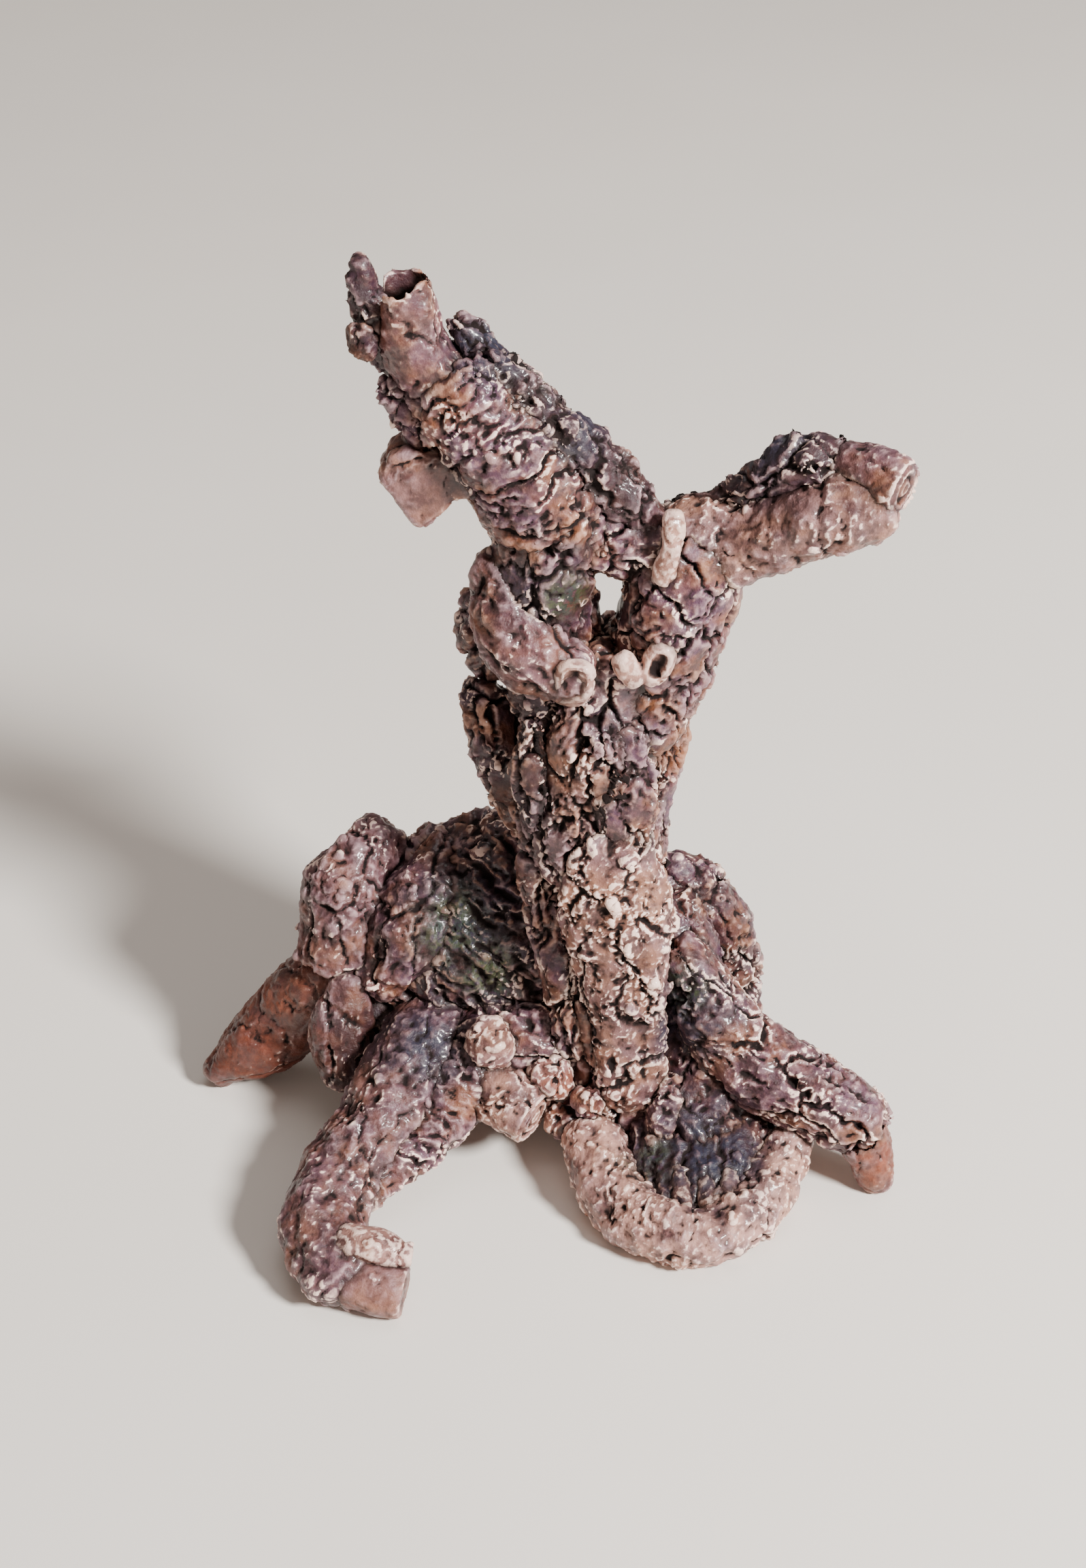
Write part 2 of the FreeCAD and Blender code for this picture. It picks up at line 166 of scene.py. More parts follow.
def new_material(name, rough, metal=0.0):
    """An empty finish and its tree, with the object's own millimetres as a pattern space."""
    material = bpy.data.materials.new(name)
    material.use_nodes = True
    tree = material.node_tree
    shader = tree.nodes["Principled BSDF"]
    shader.inputs["Roughness"].default_value = rough
    shader.inputs["Metallic"].default_value = metal
    place = make(tree, "ShaderNodeTexCoord", output="Object")
    return material, tree, shader, place.vector("SCALE", PER_METRE, "Scale")


def noise(place, size, detail=2, rough=0.5, output=0):
    """Soft noise whose lumps are about size millimetres across."""
    inputs = {"Vector": place, "Scale": 1 / size, "Detail": detail, "Roughness": rough}
    return make(place.tree, "ShaderNodeTexNoise", {}, inputs, output)


def bump(height, depth, strength=1.0):
    """A fine relief for light only; depth is in millimetres."""
    inputs = {"Height": height, "Distance": depth / PER_METRE, "Strength": strength}
    return make(height.tree, "ShaderNodeBump", {}, inputs)


def plug(tree, shader, **sockets):
    """Links values into the finish; Base_Color stands for Base Color."""
    for name, value in sockets.items():
        tree.links.new(value.socket, shader.inputs[name.replace("_", " ")])


def wire_finish():
    material, tree, shader, place = new_material("drawn_wire", 0.35, 1.0)
    streaks = noise(place.vector("MULTIPLY", (6, 6, 0.3)), 1.5, 3)
    plug(tree, shader, Base_Color=mix(streaks, paint(150, 150, 154), paint(205, 205, 208)),
         Roughness=0.25 + streaks * 0.25, Normal=bump(streaks, 0.02))
    return material


def tape_finish():
    material, tree, shader, place = new_material("paper_tape", 0.8)
    crepe = noise(place.vector("MULTIPLY", (1, 1, 6)), 1.2, 3)
    plug(tree, shader, Base_Color=mix(crepe, paint(176, 150, 104), paint(214, 194, 150)),
         Roughness=0.7 + crepe * 0.2, Normal=bump(crepe, 0.08))
    return material


wire_metal = wire_finish()
tape_paper = tape_finish()
for node, finish in (("armature_left_wire", wire_metal), ("armature_right_wire", wire_metal),
                     ("armature_tape", tape_paper)):
    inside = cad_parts[node]
    inside.data.materials.clear()
    inside.data.materials.append(finish)


# ---- The trunk -------------------------------------------------------------------------
# A thick coil of clay, worked while soft with a point and a torn edge until its skin broke
# up like old bark: raised plates, open cracks between them, crumbs and scraps pressed on.
ROLL = 0.00025
POCK = 2.0            # millimetres between the small broken blisters
RING_GAP = 1.3        # millimetres between the rings of a rolled strip's cut end
FULL_TURN = 6.28      # radians
SQUARE_CM_PER_METRE = 10000


def bark_tree():
    """Geometry nodes that turn a smooth coil's skin into clay bark."""
    tree = bpy.data.node_groups.new("bark", "GeometryNodeTree")
    face = tree.interface
    face.new_socket("Geometry", in_out="INPUT", socket_type="NodeSocketGeometry")
    for name, kind in (("Plate", "Float"), ("Stretch", "Float"), ("Grain", "Vector"), ("Step", "Float"),
                       ("Crack", "Float"), ("Nick", "Float"), ("Crumple", "Float"), ("Fold", "Float"),
                       ("Lump", "Float"), ("Rings", "Float"), ("Ring Gap", "Float"),
                       ("Ring Axis", "Vector"), ("Ring Centre", "Vector"), ("Seed", "Float"),
                       ("Finish", "Material")):
        face.new_socket(name, in_out="INPUT", socket_type="NodeSocket" + kind)
    face.new_socket("Geometry", in_out="OUTPUT", socket_type="NodeSocketGeometry")
    group = tree.nodes.new("NodeGroupInput")
    given = {socket.name: Value(tree, socket) for socket in group.outputs if socket.name}

    place = make(tree, "GeometryNodeInputPosition").vector("SCALE", PER_METRE, "Scale")
    normal = make(tree, "GeometryNodeInputNormal")
    grain = given["Grain"]

    def squeezed(point, stretch):
        """Patterns read through this are longer along the grain."""
        along = make(tree, "ShaderNodeVectorMath", {"operation": "DOT_PRODUCT"}, {0: point, 1: grain}, 1)
        shorter = grain.vector("SCALE", along * (1 - stretch), "Scale")
        return point.vector("SUBTRACT", shorter)

    # Each seed reads another part of the patterns, and what it reads is bent and jagged.
    drift = make(tree, "ShaderNodeCombineXYZ", {}, {"X": given["Seed"] * 7.3, "Y": given["Seed"] * 3.1})
    place_in = place.vector("ADD", drift)
    wander = noise(place_in, 5.0, 3, 0.6, 1).vector("SUBTRACT", (0.5, 0.5, 0.5))
    jag = noise(place_in, 1.3, 2, 0.6, 1).vector("SUBTRACT", (0.5, 0.5, 0.5))
    bent = place_in.vector("ADD", wander.vector("SCALE", 5.0, "Scale"))
    bent = bent.vector("ADD", jag.vector("SCALE", 0.8, "Scale"))
    long_way = squeezed(bent, 1 / given["Stretch"])

    def plates(size, crack_width):
        """Height step, open crack and rim of one layer of plates."""
        inputs = {"Vector": long_way, "Scale": 1 / size}
        tone = make(tree, "ShaderNodeTexVoronoi", {}, inputs, 1)
        tone = make(tree, "ShaderNodeSeparateXYZ", {}, {0: tone})
        edge = make(tree, "ShaderNodeTexVoronoi", {"feature": "DISTANCE_TO_EDGE"}, inputs) * size
        gap = ramp(edge, crack_width, crack_width * 0.25)
        rim = ramp(edge, crack_width * 0.7, crack_width * 1.6)
        rim = rim * ramp(edge, crack_width * 4.5, crack_width * 1.8)
        return tone - 0.5, gap, rim

    # Big plates, small ones where the skin is broken up, and the coil's own unevenness.
    tone_big, gap_big, rim_big = plates(given["Plate"], 0.36)
    tone_small, gap_small, rim_small = plates(given["Plate"] * 0.4, 0.26)
    broken = ramp(noise(place_in, 5.5, 2), 0.5, 0.6)
    open_here = ramp(noise(place_in, 4.5, 1), 0.38, 0.52)
    swell = noise(place_in, 7.0, 2) - 0.5
    lumps = noise(place_in, 2.6, 3, 0.55) - 0.5

    # Broken blisters, a raised rim round a small pit, in patches.
    cell = {"Vector": place_in.vector("ADD", jag.vector("SCALE", 0.7, "Scale")), "Scale": 1 / POCK}
    pock = make(tree, "ShaderNodeTexVoronoi", {}, cell) * POCK
    chosen = make(tree, "ShaderNodeSeparateXYZ", {}, {0: make(tree, "ShaderNodeTexVoronoi", {}, cell, 1)})
    chosen = ramp(chosen, 0.45, 0.5) * ramp(noise(place_in, 6.5, 1), 0.52, 0.58)
    pock = (ramp(pock, 0.3, 0.5) * ramp(pock, 0.9, 0.62) * 0.3 - ramp(pock, 0.45, 0.2) * 0.35) * chosen

    # Wrinkles and crumbs, then nicks and the folds that a finger leaves, along the grain.
    crumple = 1 - (noise(squeezed(bent, 0.75), 1.9, 3, 0.6) - 0.5).math("ABSOLUTE") * 5
    crumbs = noise(place_in, 0.8, 2, 0.55) - 0.5
    nicks = ramp(noise(squeezed(bent, 0.28), 1.5, 2), 0.53, 0.66) * (0.2 + open_here * 0.8)
    fold_way = squeezed(place_in.vector("ADD", wander.vector("SCALE", 3.0, "Scale")), 0.25)
    folds = 1 - (noise(fold_way, 2.4, 2, 0.5) - 0.5).math("ABSOLUTE") * 6

    # Rings on a face that looks along the ring axis: the cut end of a rolled strip.
    away = place.vector("SUBTRACT", given["Ring Centre"])
    off = make(tree, "ShaderNodeVectorMath", {"operation": "CROSS_PRODUCT"}, {0: away, 1: given["Ring Axis"]})
    radius = make(tree, "ShaderNodeVectorMath", {"operation": "LENGTH"}, {0: off}, 1)
    facing = make(tree, "ShaderNodeVectorMath", {"operation": "DOT_PRODUCT"},
                  {0: normal, 1: given["Ring Axis"]}, 1)
    cut_face = ramp(facing, 0.6, 0.85)
    ring = (radius / given["Ring Gap"] * FULL_TURN + crumbs * 3).math("COSINE")
    ring = ring * cut_face * given["Rings"] * -1
    calm = 1 - cut_face * 0.8 * ramp(given["Rings"], 0.0, 0.05)

    big_cracks = (gap_big - rim_big * 0.12) * given["Crack"] * (0.35 + open_here * 0.65)
    small_cracks = (gap_small - rim_small * 0.25) * given["Crack"] * 0.4
    height = tone_big * given["Step"] - big_cracks
    height = height + (tone_small * given["Step"] * 0.8 - small_cracks) * broken
    height = height + (crumple + crumbs) * given["Crumple"] * (0.35 + broken) - nicks * given["Nick"]
    height = height + pock * given["Crack"]
    height = height + folds * given["Fold"] + lumps * given["Lump"] + swell * given["Lump"]
    height = height * calm + ring
    depth = normal.vector("SCALE", height * 0.001, "Scale")
    moved = make(tree, "GeometryNodeSetPosition", {}, {"Geometry": given["Geometry"], "Offset": depth})

    # Nothing goes below the table.
    risen = make(tree, "GeometryNodeInputPosition").vector("MAXIMUM", (-1, -1, 0))
    moved = make(tree, "GeometryNodeSetPosition", {}, {"Geometry": moved, "Position": risen})

    def stands_proud(steps):
        """How far the skin stands out of its own blurred shape, in millimetres."""
        now = make(tree, "GeometryNodeInputPosition")
        inputs = {"Value": now, "Iterations": steps}
        soft = make(tree, "GeometryNodeBlurAttribute", {"data_type": "FLOAT_VECTOR"}, inputs)
        out = now.vector("SUBTRACT", soft)
        facing = {0: out, 1: make(tree, "GeometryNodeInputNormal")}
        return make(tree, "ShaderNodeVectorMath", {"operation": "DOT_PRODUCT"}, facing, 1) * PER_METRE

    # The paint reads the relief at three widths, and fine streaks that run along the grain.
    layers = [(name, stands_proud(steps)) for name, steps in (("edge", 3), ("ridge", 14), ("relief", 60))]
    layers.append(("streak", noise(squeezed(bent, 0.16), 0.55, 2)))
    for name, value in layers:
        inputs = {"Geometry": moved, "Name": name, "Value": value}
        moved = make(tree, "GeometryNodeStoreNamedAttribute", {"domain": "POINT"}, inputs)
    shaded = make(tree, "GeometryNodeSetShadeSmooth", {}, {"Geometry": moved, "Shade Smooth": True})
    real = make(tree, "GeometryNodeRealizeInstances", {}, {"Geometry": shaded})
    done = make(tree, "GeometryNodeSetMaterial", {}, {"Geometry": real, "Material": given["Finish"]})
    out = tree.nodes.new("NodeGroupOutput")
    tree.links.new(done.socket, out.inputs[0])
    return tree


def scrap_tree():
    """Geometry nodes that press torn scraps and crumbs of clay onto a coil."""
    tree = bpy.data.node_groups.new("scraps", "GeometryNodeTree")
    face = tree.interface
    face.new_socket("Geometry", in_out="INPUT", socket_type="NodeSocketGeometry")
    for name, kind in (("Per Square Centimetre", "Float"), ("Size", "Float"), ("Seed", "Int"),
                       ("Finish", "Material")):
        face.new_socket(name, in_out="INPUT", socket_type="NodeSocket" + kind)
    face.new_socket("Geometry", in_out="OUTPUT", socket_type="NodeSocketGeometry")
    group = tree.nodes.new("NodeGroupInput")
    given = {socket.name: Value(tree, socket) for socket in group.outputs if socket.name}

    scatter = tree.nodes.new("GeometryNodeDistributePointsOnFaces")
    tree.links.new(given["Geometry"].socket, scatter.inputs["Mesh"])
    tree.links.new((given["Per Square Centimetre"] * SQUARE_CM_PER_METRE).socket, scatter.inputs["Density"])
    tree.links.new(given["Seed"].socket, scatter.inputs["Seed"])
    points = Value(tree, scatter.outputs["Points"])
    upright = Value(tree, scatter.outputs["Rotation"])

    def random(low, high, seed):
        """A turn or a size between low and high, another one for each scrap."""
        inputs = {0: low, 1: high, "Seed": seed}
        return make(tree, "FunctionNodeRandomValue", {"data_type": "FLOAT_VECTOR"}, inputs)

    # A scrap is a small dented lump, pressed flat to the skin and turned any way.
    ball = make(tree, "GeometryNodeMeshIcoSphere", {}, {"Radius": 0.001, "Subdivisions": 1})
    dent = make(tree, "GeometryNodeInputPosition").vector("SCALE", PER_METRE, "Scale")
    dent = make(tree, "GeometryNodeInputNormal").vector(
        "SCALE", (noise(dent, 1.1, 2) - 0.5) * 0.0011, "Scale")
    scrap = make(tree, "GeometryNodeSetPosition", {}, {"Geometry": ball, "Offset": dent})
    tilt = random((-0.5, -0.5, -3.1), (0.5, 0.5, 3.1), 1)
    turned = make(tree, "FunctionNodeRotateRotation", {"rotation_space": "LOCAL"}, {0: upright, 1: tilt})
    size = random((0.5, 0.35, 0.16), (1.6, 0.9, 0.32), 2).vector("SCALE", given["Size"], "Scale")
    inputs = {"Points": points, "Instance": scrap, "Rotation": turned, "Scale": size}
    pressed = make(tree, "GeometryNodeInstanceOnPoints", {}, inputs)
    real = make(tree, "GeometryNodeRealizeInstances", {}, {"Geometry": pressed})
    both = tree.nodes.new("GeometryNodeJoinGeometry")
    tree.links.new(real.socket, both.inputs[0])
    tree.links.new(given["Geometry"].socket, both.inputs[0])
    inputs = {"Geometry": Value(tree, both.outputs[0]), "Material": given["Finish"]}
    done = make(tree, "GeometryNodeSetMaterial", {}, inputs)
    out = tree.nodes.new("NodeGroupOutput")
    tree.links.new(done.socket, out.inputs[0])
    return tree


def set_inputs(modifier, values):
    """Sets a node modifier's inputs by their sockets' identifiers."""
    for item in modifier.node_group.interface.items_tree:
        if item.in_out == "INPUT" and item.name in values:
            modifier[item.identifier] = values[item.name]


def clay_finish():
    """Painted clay: browns and purple-greys in soft patches, a lighter tan laid on the lit pieces as
    painted light, painted shade on the shaded sides and deep in the fork together with darker paint, amber,
    moss green and blue-grey dabbed on, pale brown rubbed over what stands proud, near-white on torn edges
    that is partly white paint and partly a painted highlight for the varnish's glints, a dark wash with
    painted shade in the hollows, cracks and seams, and a satin varnish that warms it all."""
    material, tree, shader, place = new_material("painted_clay", 0.5)
    shader.inputs["Specular IOR Level"].default_value = 0.35
    shader.inputs["Coat Roughness"].default_value = 0.16

    def layer(name):
        return make(tree, "ShaderNodeAttribute", {"attribute_name": name}, {}, 2)

    edge, ridge, relief, streak = layer("edge"), layer("ridge"), layer("relief"), layer("streak")
    seam_wash_and_shade, moss, wash, amber = layer("seam_wash_and_shade"), layer("moss"), layer("wash"), layer("amber")
    smooth, painted_light, pale_and_glint = layer("smooth"), layer("painted_light"), layer("pale_and_glint")
    dark_paint_and_shade, cool = layer("dark_paint_and_shade"), layer("cool")
    broad, patch = noise(place, 9, 3), noise(place, 2.6, 3)
    speck, grit = noise(place, 0.7, 3), noise(place, 0.22, 2)
    hue = noise(place.vector("ADD", (31, 7, 3)), 5, 3)

    # The clay's own browns and purple-greys, and a lighter tan laid on the lit pieces as painted light.
    body = mix(ramp(broad, 0.38, 0.62), paint(106, 66, 46), paint(96, 66, 74))
    body = mix(ramp(hue, 0.48, 0.6) * 0.8, body, paint(80, 60, 82))
    body = mix(ramp(hue, 0.48, 0.38) * 0.6, body, paint(128, 86, 54))
    body = mix(ramp(patch, 0.42, 0.64) * 0.9, body, paint(58, 36, 41))
    body = mix(ramp(speck, 0.45, 0.7) * 0.5, body, paint(138, 100, 96))
    body = mix(smooth * 0.8, body, mix(ramp(patch, 0.35, 0.65), paint(122, 86, 74), paint(92, 60, 54)))
    body = mix(cool * 0.45, body, mix(ramp(patch, 0.35, 0.6), paint(120, 94, 94), paint(74, 56, 60)))
    body = mix(painted_light * ramp(patch, 0.75, 0.35), body, paint(190, 154, 140))

    # What was dabbed on here and there, with painted shade and some darker paint laid over the shaded pieces
    # and spots.
    ambers = mix(ramp(speck, 0.35, 0.65), paint(116, 60, 38), paint(132, 76, 54))
    body = mix(amber * ramp(patch, 0.8, 0.3), body, ambers)
    body = mix(dark_paint_and_shade * ramp(broad, 0.1, 0.5) * 0.85, body, paint(38, 25, 32))
    body = mix(wash * ramp(patch, 0.2, 0.5) * 0.9, body, paint(36, 41, 58))
    greens = mix(ramp(patch, 0.4, 0.6), paint(32, 54, 50), paint(54, 68, 38))
    body = mix(moss * ramp(speck, 0.3, 0.55) * 0.85, body, greens)
    body = mix(ramp(streak, 0.5, 0.68) * (0.55 - smooth * 0.4), body, paint(40, 21, 22))

    # Pale paint rubbed over the ridges, and near-white on the torn edges that is partly white paint and
    # partly a painted highlight for the varnish's glints.
    rubbed = ramp(ridge + (speck - 0.5) * 0.3 - dark_paint_and_shade * 0.1, 0.0, 0.28)
    rubbed = rubbed * (1 - wash * 0.6) * (1 - moss * 0.5) * (1 - amber * 0.6)
    pale_browns = mix(ramp(hue + cool * 0.14, 0.4, 0.58), paint(172, 132, 110), paint(164, 142, 150))
    body = mix(rubbed * 0.62, body, pale_browns)
    pale_and_glint_here = ramp(noise(place, 4.5, 2) + pale_and_glint * 0.4, 0.5, 0.6)
    ragged = (speck - 0.5) * (0.16 - smooth * 0.14)
    white_edge_and_glint = ramp(edge + ragged + pale_and_glint * 0.04, 0.05, 0.1) * (0.05 + pale_and_glint_here * (0.95 - smooth * 0.55))
    body = mix(white_edge_and_glint * (0.95 - wash * 0.6 - dark_paint_and_shade * 0.3), body, paint(248, 228, 214))

    # Dark wash with painted shade in the hollows, the cracks and the seams, then the varnish's warm tint.
    hollow_wash_and_shade = ramp(relief + (patch - 0.5) * 0.35, 0.1, -0.24)
    body = mix(hollow_wash_and_shade * 0.85, body, paint(38, 16, 10))
    # Near-black in the cracks: dark wash and painted shade together.
    crack = ramp(ridge, -0.03, -0.16)
    body = mix(crack * 0.96, body, paint(20, 6, 3))
    body = mix(seam_wash_and_shade * 0.8, body, paint(26, 10, 6))
    varnish_tint = (1.0, 0.88, 0.86)
    body = body.vector("MULTIPLY", varnish_tint)
    fine = grit * 0.4 + speck * 0.5 + streak * 0.6
    plug(tree, shader, Base_Color=body,
         Roughness=0.42 + patch * 0.22 + crack * 0.3 + hollow_wash_and_shade * 0.1,
         Coat_Weight=ramp(patch, 0.35, 0.6) * 0.5 * (1 - crack) * (1 - hollow_wash_and_shade),
         Normal=bump(fine, 0.2, 0.85))
    return material


clay = clay_finish()
bark = bark_tree()
scraps = scrap_tree()
painted = []


def clay_piece(node, grain=(0, 0, 1), plate=6.5, stretch=1.6, step=0.4, crack=0.75,
               nick=0.3, crumple=0.1, fold=0.0, lump=0.8, scrap=4, scrap_size=1.0, rings=0.0,
               ring_axis=(0, 0, 1), ring_centre=(0, 0, 0), smooth=0.0, painted_light=0.0, pale_and_glint=0.0, dark_paint_and_shade=0.0,
               cool=0.0, seed=1):
    """One piece of clay, on the solid that the design gives it. Lengths are millimetres."""
    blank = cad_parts[node].data.copy()
    piece = bpy.data.objects.new("clay_" + node, blank)
    scene.collection.objects.link(piece)
    blank.materials.clear()
    blank.materials.append(clay)

    weld = piece.modifiers.new("weld", "WELD")
    weld.merge_threshold = 1e-6
    if scrap:
        press = piece.modifiers.new("scraps", "NODES")
        press.node_group = scraps
        set_inputs(press, {"Per Square Centimetre": float(scrap), "Size": float(scrap_size),
                           "Seed": seed, "Finish": clay})
    remesh = piece.modifiers.new("roll", "REMESH")
    remesh.mode = "VOXEL"
    remesh.voxel_size = ROLL
    skin = piece.modifiers.new("bark", "NODES")
    skin.node_group = bark
    set_inputs(skin, {
        "Plate": float(plate), "Stretch": float(stretch), "Grain": Vector(grain).normalized(),
        "Step": float(step), "Crack": float(crack), "Nick": float(nick), "Crumple": float(crumple),
        "Fold": float(fold), "Lump": float(lump), "Rings": float(rings), "Ring Gap": RING_GAP,
        "Ring Axis": Vector(ring_axis).normalized(), "Ring Centre": Vector(ring_centre),
        "Seed": float(seed), "Finish": clay})
    bpy.context.view_layer.update()
    evaluated = piece.evaluated_get(bpy.context.evaluated_depsgraph_get())
    mesh = bpy.data.meshes.new_from_object(evaluated)
    mesh.name = piece.name
    piece.modifiers.clear()
    piece.data = mesh
    bpy.data.meshes.remove(blank)
    # Store each piece's painted light, its painted shade with darker paint, and its pale paint with painted
    # highlight, for the finish to read.
    for name, amount in (("smooth", smooth), ("painted_light", painted_light), ("pale_and_glint", pale_and_glint), ("dark_paint_and_shade", dark_paint_and_shade),
                         ("cool", cool)):
        level = mesh.attributes.new(name, "FLOAT", "POINT")
        level.data.foreach_set("value", np.full(len(mesh.vertices), amount, np.float32))
    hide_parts(node)
    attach(piece, "root")
    painted.append(piece)


# Each piece's lighter tan is painted light where the key lamp falls, its darkening is painted shade with some
# darker paint, and its near-white is white paint with painted highlight.
clay_piece("trunk_core", plate=3.8, stretch=2.6, step=0.55, crack=0.8, nick=0.45, crumple=0.2, scrap=5,
           scrap_size=1.3, lump=0.9, painted_light=0.2, pale_and_glint=0.08, seed=3)


# ---- The strips of bark on the trunk ---------------------------------------------------
# Flat strips and flakes of clay laid up the trunk, their edges left open so that a deep
# crack runs beside each of them; two shelves stand out on the left, and two pads lie at
# the foot.
clay_piece("trunk_front_plate", plate=9, stretch=1.6, step=0.5, crack=0.45, nick=0.3, crumple=0.28, lump=1.2,
           scrap=6, scrap_size=1.2, painted_light=0.3, pale_and_glint=0.5, seed=5)
clay_piece("trunk_left_strip", plate=3.6, stretch=3, scrap=3, dark_paint_and_shade=0.5, seed=6)
for node, dark_paint_and_shade, seed in (("trunk_upper_plate", 0.2, 7), ("trunk_left_plate", 0.9, 8),
                         ("trunk_right_plate", 0, 9), ("trunk_back_plate", 0.5, 10)):
    clay_piece(node, plate=4, stretch=2.6, dark_paint_and_shade=dark_paint_and_shade, scrap=5, seed=seed)
for node, seed in (("upper_shelf", 11), ("lower_shelf", 12)):
    clay_piece(node, plate=3.4, stretch=2.4, crumple=0.2, scrap=8, scrap_size=1.3, dark_paint_and_shade=0.7, seed=seed)
clay_piece("foot_pads", plate=5, crack=0.4, nick=0.3, lump=1.6, scrap=3, pale_and_glint=0.1, smooth=0.2, seed=13)


# ---- The fork --------------------------------------------------------------------------
# The trunk's top is split into two stems round a small see-through window. A thick smooth
# collar of clay is draped over the left stem; pellets and a curl are pressed on.
clay_piece("left_stem", plate=4.5, stretch=2, crumple=0.16, scrap=6, dark_paint_and_shade=0.6, seed=14)
clay_piece("right_stem", plate=5, stretch=1.6, crumple=0.16, scrap=6, seed=15)
clay_piece("fork_bridge", grain=(1, 0, -0.3), plate=5, crumple=0.14, scrap=4, seed=16)
clay_piece("stem_collar", grain=(0.6, -0.3, -0.7), plate=9, stretch=2.5, step=0.25, crack=0.4, nick=0.1,
           fold=0.5, lump=1.3, scrap=1, smooth=0.35, cool=0.4, seed=17)
for node, seed in (("collar_end", 18), ("fork_pellets", 19), ("fork_curl", 20)):
    clay_piece(node, plate=6, crack=0.2, step=0.15, nick=0.03, crumple=0.03, lump=0.4, scrap=0, smooth=0.7,
               painted_light=0.7, pale_and_glint=1.2, seed=seed)


# ---- The left limb ---------------------------------------------------------------------
# The long coil leaning up to the left, wrinkled across its length, with a ragged strip of
# bark along its upper edge, a square-cut stub below, and a split hollow twig at its end.
LEFT_LIMB = (-0.55, 0, 0.83)
ACROSS_LIMB = (0.83, 0.2, 0.55)
clay_piece("left_limb", grain=ACROSS_LIMB, plate=4.2, stretch=2.4, crack=0.45, nick=0.35, crumple=0.2,
           fold=0.3, scrap=7, scrap_size=0.9, lump=1.0, seed=21)
clay_piece("limb_left_bark", grain=ACROSS_LIMB, plate=3.4, crumple=0.2, scrap=8, scrap_size=1.2, seed=22)
clay_piece("limb_crest", grain=LEFT_LIMB, plate=3.4, stretch=2, crack=0.6, nick=0.4, crumple=0.16,
           scrap=10, scrap_size=1.4, dark_paint_and_shade=0.9, cool=1, seed=23)
clay_piece("limb_paddle", plate=10, step=0.15, crack=0.3, nick=0.12, crumple=0.08, lump=0.4,
           scrap=1, smooth=0.5, painted_light=0.2, seed=24)
clay_piece("limb_tip", grain=LEFT_LIMB, plate=6, step=0.2, crack=0.3, nick=0.15, crumple=0.2,
           lump=1.0, scrap=5, scrap_size=0.8, smooth=0.35, pale_and_glint=0.15, seed=25)
for node, seed in (("tip_blade", 26), ("tip_knuckle", 27)):
    clay_piece(node, grain=LEFT_LIMB, plate=4, crack=0.4, lump=0.6, scrap=4, scrap_size=0.8, dark_paint_and_shade=0.8,
               seed=seed)


# ---- The right limb --------------------------------------------------------------------
# A shorter coil, rubbed smooth underneath, with a crest of crumbled clay on top and its
# end cut square, where a small roll of clay lies marked with a swirl.
RIGHT_LIMB = (0.9, -0.15, 0.35)
clay_piece("right_limb", grain=(0.1, 0, 1), plate=7, stretch=2, step=0.2, crack=0.2, nick=0.12,
           crumple=0.18, fold=0.2, lump=1.1, scrap=4, smooth=0.15, painted_light=0.35, pale_and_glint=0.2, cool=0.3, seed=28)
clay_piece("right_limb_end", grain=RIGHT_LIMB, plate=7, step=0.2, crack=0.3, nick=0.08,
           crumple=0.14, lump=1.1, scrap=4, smooth=0.2, pale_and_glint=0.2, rings=0.2, ring_axis=(0.8, -0.58, -0.1),
           ring_centre=(39.1, 2.0, 90.6), cool=0.5, seed=29)
clay_piece("right_limb_crest", grain=RIGHT_LIMB, plate=3.6, crack=0.6, crumple=0.16, scrap=9,
           scrap_size=1.4, dark_paint_and_shade=0.8, cool=0.6, seed=30)


# ---- The burl and the webs -------------------------------------------------------------
# Two fat coils folded over beside the trunk, and sheets of clay dragged down between the
# roots with the fingers, which left them in soft folds; these caught most of the dark wash.
BURL = (-0.3, -0.4, -0.85)
clay_piece("burl_outer", grain=BURL, plate=8, stretch=2, crack=0.4, nick=0.15, crumple=0.12, fold=0.3,
           lump=1.7, scrap=4, smooth=0.3, cool=0.9, seed=31)
clay_piece("burl_inner", grain=BURL, plate=6, stretch=2, crack=0.4, nick=0.2, crumple=0.2, fold=0.3,
           lump=1.7, scrap=7, dark_paint_and_shade=0.2, cool=0.4, seed=32)
DRAGGED = (0.8, -0.4, -0.5)
clay_piece("left_web", grain=DRAGGED, plate=10, step=0.2, crack=0.4, nick=0.3, crumple=0.2,
           fold=0.9, scrap=3, scrap_size=0.9, dark_paint_and_shade=0.6, lump=1.8, seed=33)
clay_piece("front_web", grain=DRAGGED, plate=7, step=0.3, crack=0.4, nick=0.35, crumple=0.2,
           fold=0.45, scrap=4, cool=0.5, pale_and_glint=0.1, lump=1.7, seed=34)
clay_piece("right_web", plate=7, step=0.3, crack=0.4, crumple=0.14, fold=0.4, scrap=3, dark_paint_and_shade=0.5,
           lump=1.2, seed=35)
clay_piece("toe_web", grain=(0, 1, 0.1), plate=7, step=0.3, crack=0.3, crumple=0.14, fold=0.5,
           scrap=3, dark_paint_and_shade=0.6, lump=1.4, seed=36)
clay_piece("toe_ribs", grain=(0, 1, 0.1), plate=5, crack=0.2, nick=0.1, lump=0.8, scrap=6,
           scrap_size=0.8, painted_light=0.4, pale_and_glint=0.5, seed=37)


